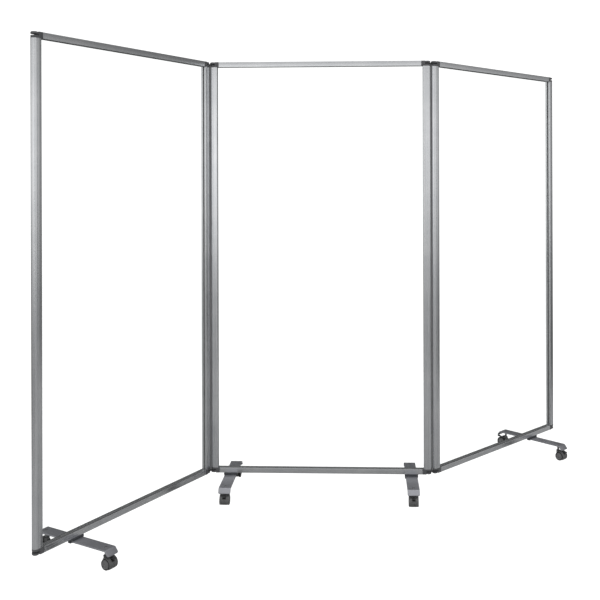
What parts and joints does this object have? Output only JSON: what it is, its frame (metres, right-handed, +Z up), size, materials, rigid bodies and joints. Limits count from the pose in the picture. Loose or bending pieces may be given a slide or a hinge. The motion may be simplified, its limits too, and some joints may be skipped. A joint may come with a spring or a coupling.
{
  "type": "folding room divider",
  "caption": "Rolling folding screen: clear panels in slim aluminium frames, joined by double-pivot hinges and carried on bent steel legs with braked twin-wheel casters.",
  "frame": {"origin": "on the floor, at the middle of the box that the divider fills in its stored pose, left section folded forwards and right section folded back", "axes": "+Z up, +X along the centre section towards its right end as seen from the front, -Y towards the front of the centre section"},
  "size_m": [2.1478, 1.527, 1.83],
  "materials": {
    "anodised_aluminium": "satin anodised",
    "cap_plastic": "fine moulded texture",
    "clear_acrylic": "clear, polished",
    "gasket": "matt",
    "hinge_plastic": "matt black",
    "gap_strip": "matt",
    "pin_steel": "zinc plated",
    "clamp_plastic": "moulded",
    "coated_steel": "fine powder coat",
    "stem_steel": "dark zinc",
    "caster_plastic": "moulded nylon",
    "wheel_plastic": "moulded nylon",
    "brake_plastic": "moulded nylon"
  },
  "bodies": {
    "centre": {"centre_left_stile": "anodised_aluminium", "centre_right_stile": "anodised_aluminium", "centre_top_rail": "anodised_aluminium", "centre_bottom_rail": "anodised_aluminium", "centre_corner_caps": "cap_plastic", "centre_panel": "clear_acrylic", "centre_gasket": "gasket", "centre_legs": "coated_steel", "centre_leg_clamps": "clamp_plastic", "centre_caster_stems": "stem_steel"},
    "left_wing": {"left_wing_left_stile": "anodised_aluminium", "left_wing_right_stile": "anodised_aluminium", "left_wing_top_rail": "anodised_aluminium", "left_wing_bottom_rail": "anodised_aluminium", "left_wing_corner_caps": "cap_plastic", "left_wing_panel": "clear_acrylic", "left_wing_gasket": "gasket", "left_wing_leg": "coated_steel", "left_wing_leg_clamp": "clamp_plastic", "left_wing_caster_stems": "stem_steel"},
    "right_wing": {"right_wing_left_stile": "anodised_aluminium", "right_wing_right_stile": "anodised_aluminium", "right_wing_top_rail": "anodised_aluminium", "right_wing_bottom_rail": "anodised_aluminium", "right_wing_corner_caps": "cap_plastic", "right_wing_panel": "clear_acrylic", "right_wing_gasket": "gasket", "right_wing_leg": "coated_steel", "right_wing_leg_clamp": "clamp_plastic", "right_wing_caster_stems": "stem_steel"},
    "left_hinge": {"left_hinge_links": "hinge_plastic", "left_hinge_gap_strip": "gap_strip", "left_hinge_pins": "pin_steel"},
    "right_hinge": {"right_hinge_links": "hinge_plastic", "right_hinge_gap_strip": "gap_strip", "right_hinge_pins": "pin_steel"},
    "caster_hood_centre_left_front": {"caster_hood_centre_left_front": "caster_plastic"},
    "caster_wheels_centre_left_front": {"caster_wheels_centre_left_front": "wheel_plastic"},
    "caster_brake_centre_left_front": {"caster_brake_centre_left_front": "brake_plastic"},
    "caster_hood_centre_left_rear": {"caster_hood_centre_left_rear": "caster_plastic"},
    "caster_wheels_centre_left_rear": {"caster_wheels_centre_left_rear": "wheel_plastic"},
    "caster_brake_centre_left_rear": {"caster_brake_centre_left_rear": "brake_plastic"},
    "caster_hood_centre_right_front": {"caster_hood_centre_right_front": "caster_plastic"},
    "caster_wheels_centre_right_front": {"caster_wheels_centre_right_front": "wheel_plastic"},
    "caster_brake_centre_right_front": {"caster_brake_centre_right_front": "brake_plastic"},
    "caster_hood_centre_right_rear": {"caster_hood_centre_right_rear": "caster_plastic"},
    "caster_wheels_centre_right_rear": {"caster_wheels_centre_right_rear": "wheel_plastic"},
    "caster_brake_centre_right_rear": {"caster_brake_centre_right_rear": "brake_plastic"},
    "caster_hood_left_wing_front": {"caster_hood_left_wing_front": "caster_plastic"},
    "caster_wheels_left_wing_front": {"caster_wheels_left_wing_front": "wheel_plastic"},
    "caster_brake_left_wing_front": {"caster_brake_left_wing_front": "brake_plastic"},
    "caster_hood_left_wing_rear": {"caster_hood_left_wing_rear": "caster_plastic"},
    "caster_wheels_left_wing_rear": {"caster_wheels_left_wing_rear": "wheel_plastic"},
    "caster_brake_left_wing_rear": {"caster_brake_left_wing_rear": "brake_plastic"},
    "caster_hood_right_wing_front": {"caster_hood_right_wing_front": "caster_plastic"},
    "caster_wheels_right_wing_front": {"caster_wheels_right_wing_front": "wheel_plastic"},
    "caster_brake_right_wing_front": {"caster_brake_right_wing_front": "brake_plastic"},
    "caster_hood_right_wing_rear": {"caster_hood_right_wing_rear": "caster_plastic"},
    "caster_wheels_right_wing_rear": {"caster_wheels_right_wing_rear": "wheel_plastic"},
    "caster_brake_right_wing_rear": {"caster_brake_right_wing_rear": "brake_plastic"}
  },
  "joints": [
    {"name": "left_fold_at_centre", "type": "hinge", "parent": "centre", "child": "left_hinge", "pos_m": [-0.52651, 0.07259, 1], "axis": [0, 0, 1], "range_deg": [-61, 59]},
    {"name": "left_fold_at_wing", "type": "hinge", "parent": "left_hinge", "child": "left_wing", "pos_m": [-0.55266, 0.05688, 1], "axis": [0, 0, 1], "range_deg": [-61, 59]},
    {"name": "right_fold_at_centre", "type": "hinge", "parent": "centre", "child": "right_hinge", "pos_m": [0.38849, 0.07259, 1], "axis": [0, 0, 1], "range_deg": [-53.25, 66.75]},
    {"name": "right_fold_at_wing", "type": "hinge", "parent": "right_hinge", "child": "right_wing", "pos_m": [0.41651, 0.08463, 1], "axis": [0, 0, 1], "range_deg": [-53.25, 66.75]},
    {"name": "swivel_centre_left_front", "type": "hinge", "parent": "centre", "child": "caster_hood_centre_left_front", "pos_m": [-0.45402, -0.07441, 0.033], "axis": [0, 0, 1], "continuous": true},
    {"name": "roll_centre_left_front", "type": "hinge", "parent": "caster_hood_centre_left_front", "child": "caster_wheels_centre_left_front", "pos_m": [-0.45402, -0.08941, 0.0195], "axis": [1, 0, 0], "continuous": true},
    {"name": "brake_centre_left_front", "type": "hinge", "parent": "caster_hood_centre_left_front", "child": "caster_brake_centre_left_front", "pos_m": [-0.45402, -0.09741, 0.034], "axis": [1, 0, 0], "range_deg": [0, 18]},
    {"name": "swivel_centre_left_rear", "type": "hinge", "parent": "centre", "child": "caster_hood_centre_left_rear", "pos_m": [-0.45402, 0.21959, 0.033], "axis": [0, 0, 1], "continuous": true},
    {"name": "roll_centre_left_rear", "type": "hinge", "parent": "caster_hood_centre_left_rear", "child": "caster_wheels_centre_left_rear", "pos_m": [-0.45402, 0.23459, 0.0195], "axis": [1, 0, 0], "continuous": true},
    {"name": "brake_centre_left_rear", "type": "hinge", "parent": "caster_hood_centre_left_rear", "child": "caster_brake_centre_left_rear", "pos_m": [-0.45402, 0.24259, 0.034], "axis": [-1, 0, 0], "range_deg": [0, 18]},
    {"name": "swivel_centre_right_front", "type": "hinge", "parent": "centre", "child": "caster_hood_centre_right_front", "pos_m": [0.31599, -0.07441, 0.033], "axis": [0, 0, 1], "continuous": true},
    {"name": "roll_centre_right_front", "type": "hinge", "parent": "caster_hood_centre_right_front", "child": "caster_wheels_centre_right_front", "pos_m": [0.31599, -0.08941, 0.0195], "axis": [1, 0, 0], "continuous": true},
    {"name": "brake_centre_right_front", "type": "hinge", "parent": "caster_hood_centre_right_front", "child": "caster_brake_centre_right_front", "pos_m": [0.31599, -0.09741, 0.034], "axis": [1, 0, 0], "range_deg": [0, 18]},
    {"name": "swivel_centre_right_rear", "type": "hinge", "parent": "centre", "child": "caster_hood_centre_right_rear", "pos_m": [0.31599, 0.21959, 0.033], "axis": [0, 0, 1], "continuous": true},
    {"name": "roll_centre_right_rear", "type": "hinge", "parent": "caster_hood_centre_right_rear", "child": "caster_wheels_centre_right_rear", "pos_m": [0.31599, 0.23459, 0.0195], "axis": [1, 0, 0], "continuous": true},
    {"name": "brake_centre_right_rear", "type": "hinge", "parent": "caster_hood_centre_right_rear", "child": "caster_brake_centre_right_rear", "pos_m": [0.31599, 0.24259, 0.034], "axis": [-1, 0, 0], "range_deg": [0, 18]},
    {"name": "swivel_left_wing_front", "type": "hinge", "parent": "left_wing", "child": "caster_hood_left_wing_front", "pos_m": [-0.77051, -0.66596, 0.033], "axis": [0, 0, 1], "continuous": true},
    {"name": "roll_left_wing_front", "type": "hinge", "parent": "caster_hood_left_wing_front", "child": "caster_wheels_left_wing_front", "pos_m": [-0.75726, -0.673, 0.0195], "axis": [0.4695, 0.8829, 0], "continuous": true},
    {"name": "brake_left_wing_front", "type": "hinge", "parent": "caster_hood_left_wing_front", "child": "caster_brake_left_wing_front", "pos_m": [-0.7502, -0.67675, 0.034], "axis": [0.4695, 0.8829, 0], "range_deg": [0, 18]},
    {"name": "swivel_left_wing_rear", "type": "hinge", "parent": "left_wing", "child": "caster_hood_left_wing_rear", "pos_m": [-1.0301, -0.52793, 0.033], "axis": [0, 0, 1], "continuous": true},
    {"name": "roll_left_wing_rear", "type": "hinge", "parent": "caster_hood_left_wing_rear", "child": "caster_wheels_left_wing_rear", "pos_m": [-1.04334, -0.52089, 0.0195], "axis": [0.4695, 0.8829, 0], "continuous": true},
    {"name": "brake_left_wing_rear", "type": "hinge", "parent": "caster_hood_left_wing_rear", "child": "caster_brake_left_wing_rear", "pos_m": [-1.0504, -0.51713, 0.034], "axis": [-0.4695, -0.8829, 0], "range_deg": [0, 18]},
    {"name": "swivel_right_wing_front", "type": "hinge", "parent": "right_wing", "child": "caster_hood_right_wing_front", "pos_m": [1.03286, 0.52058, 0.033], "axis": [0, 0, 1], "continuous": true},
    {"name": "roll_right_wing_front", "type": "hinge", "parent": "caster_hood_right_wing_front", "child": "caster_wheels_right_wing_front", "pos_m": [1.04374, 0.51025, 0.0195], "axis": [0.6884, 0.7254, 0], "continuous": true},
    {"name": "brake_right_wing_front", "type": "hinge", "parent": "caster_hood_right_wing_front", "child": "caster_brake_right_wing_front", "pos_m": [1.04955, 0.50475, 0.034], "axis": [0.6884, 0.7254, 0], "range_deg": [0, 18]},
    {"name": "swivel_right_wing_rear", "type": "hinge", "parent": "right_wing", "child": "caster_hood_right_wing_rear", "pos_m": [0.81961, 0.72296, 0.033], "axis": [0, 0, 1], "continuous": true},
    {"name": "roll_right_wing_rear", "type": "hinge", "parent": "caster_hood_right_wing_rear", "child": "caster_wheels_right_wing_rear", "pos_m": [0.80872, 0.73328, 0.0195], "axis": [0.6884, 0.7254, 0], "continuous": true},
    {"name": "brake_right_wing_rear", "type": "hinge", "parent": "caster_hood_right_wing_rear", "child": "caster_brake_right_wing_rear", "pos_m": [0.80292, 0.73879, 0.034], "axis": [-0.6884, -0.7254, 0], "range_deg": [0, 18]}
  ],
  "couplings": [
    {"joint": "left_fold_at_wing", "follows": "left_fold_at_centre", "ratio": 1},
    {"joint": "right_fold_at_wing", "follows": "right_fold_at_centre", "ratio": 1}
  ]
}
